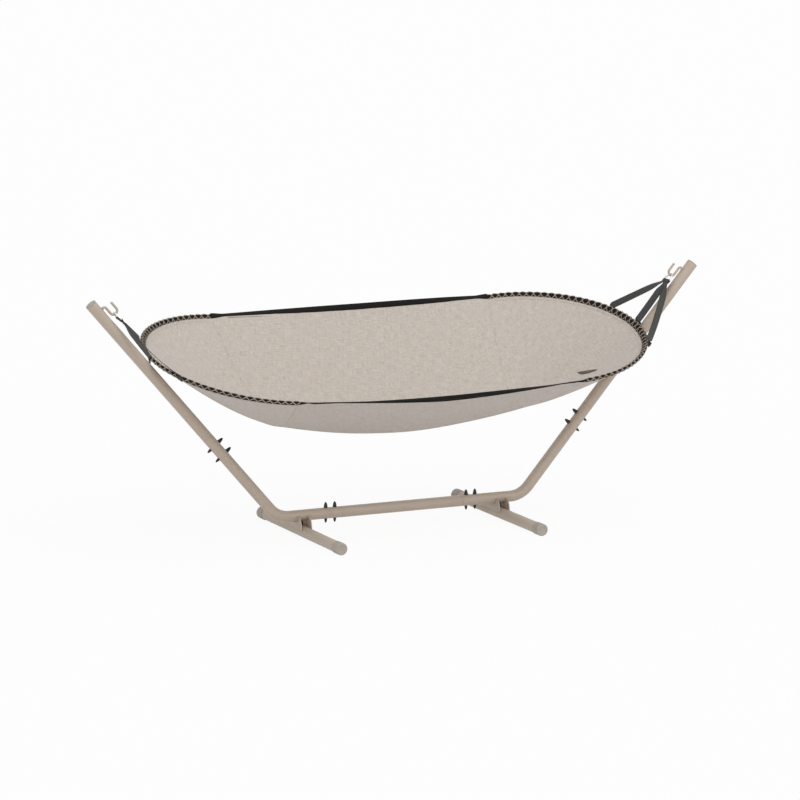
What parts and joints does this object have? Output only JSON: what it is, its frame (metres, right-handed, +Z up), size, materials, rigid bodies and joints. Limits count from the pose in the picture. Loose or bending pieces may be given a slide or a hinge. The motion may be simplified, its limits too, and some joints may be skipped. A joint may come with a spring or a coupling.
{
  "type": "freestanding hammock",
  "caption": "Freestanding hammock: a bolted tube stand with two hooks, and a cloth bed with laced end bows, hung from rings by straps, that swings about the hooks.",
  "frame": {"origin": "on the floor, under the middle of the whole object's box", "axes": "+X along the stand's spine towards its right end, +Y to the back, +Z up"},
  "size_m": [2.9878, 1.0321, 1.1258],
  "materials": {
    "taupe_powder_coat": "satin powder coat, taupe",
    "taupe_plastic": "moulded end caps and plugs, taupe",
    "black_plastic": "black moulded bush",
    "black_bolt": "black domed bolt heads and cap nuts",
    "zinc_plated_steel": "zinc plated",
    "polished_steel": "polished",
    "charcoal_webbing": "woven webbing, charcoal",
    "black_webbing": "woven webbing, black",
    "beige_cord": "flat woven lace",
    "beige_cloth": "heavy melange cloth, warm beige"
  },
  "bodies": {
    "stand": {"arm_plug_left": "taupe_plastic", "arm_plug_right": "taupe_plastic", "arm_tube_left": "taupe_powder_coat", "arm_tube_right": "taupe_powder_coat", "bracket_plate_left_inner": "taupe_powder_coat", "bracket_plate_left_outer": "taupe_powder_coat", "bracket_plate_right_inner": "taupe_powder_coat", "bracket_plate_right_outer": "taupe_powder_coat", "cap_nut_arm_left_1": "black_bolt", "cap_nut_arm_left_2": "black_bolt", "cap_nut_arm_right_1": "black_bolt", "cap_nut_arm_right_2": "black_bolt", "cap_nut_spine_left_1": "black_bolt", "cap_nut_spine_left_2": "black_bolt", "cap_nut_spine_right_1": "black_bolt", "cap_nut_spine_right_2": "black_bolt", "centre_tube": "taupe_powder_coat", "corner_tube_left": "taupe_powder_coat", "corner_tube_right": "taupe_powder_coat", "foot_bolt_left": "zinc_plated_steel", "foot_bolt_right": "zinc_plated_steel", "foot_cap_left_back": "taupe_plastic", "foot_cap_left_front": "taupe_plastic", "foot_cap_right_back": "taupe_plastic", "foot_cap_right_front": "taupe_plastic", "foot_spacer_left": "black_plastic", "foot_spacer_right": "black_plastic", "foot_tube_left": "taupe_powder_coat", "foot_tube_right": "taupe_powder_coat", "hook_left": "taupe_powder_coat", "hook_right": "taupe_powder_coat", "splice_bolt_arm_left_1": "black_bolt", "splice_bolt_arm_left_2": "black_bolt", "splice_bolt_arm_right_1": "black_bolt", "splice_bolt_arm_right_2": "black_bolt", "splice_bolt_spine_left_1": "black_bolt", "splice_bolt_spine_left_2": "black_bolt", "splice_bolt_spine_right_1": "black_bolt", "splice_bolt_spine_right_2": "black_bolt"},
    "hammock": {"bed_panel_centre": "beige_cloth", "bed_panel_left": "beige_cloth", "bed_panel_right": "beige_cloth", "edge_sleeve_left": "black_webbing", "edge_sleeve_right": "black_webbing", "end_bow_left": "zinc_plated_steel", "end_bow_right": "zinc_plated_steel", "lacing_over_left": "beige_cord", "lacing_over_right": "beige_cord", "lacing_under_left": "beige_cord", "lacing_under_right": "beige_cord", "ring_left": "polished_steel", "ring_right": "polished_steel", "side_webbing_back": "black_webbing", "side_webbing_front": "black_webbing", "strap_back_left": "charcoal_webbing", "strap_back_right": "charcoal_webbing", "strap_front_left": "charcoal_webbing", "strap_front_right": "charcoal_webbing", "strap_middle_left": "charcoal_webbing", "strap_middle_right": "charcoal_webbing"}
  },
  "joints": [
    {"name": "hammock_swing", "type": "hinge", "parent": "stand", "child": "hammock", "pos_m": [0, -0.0314, 1.06051], "axis": [1, 0, 0], "range_deg": [-36.5, 10]}
  ]
}
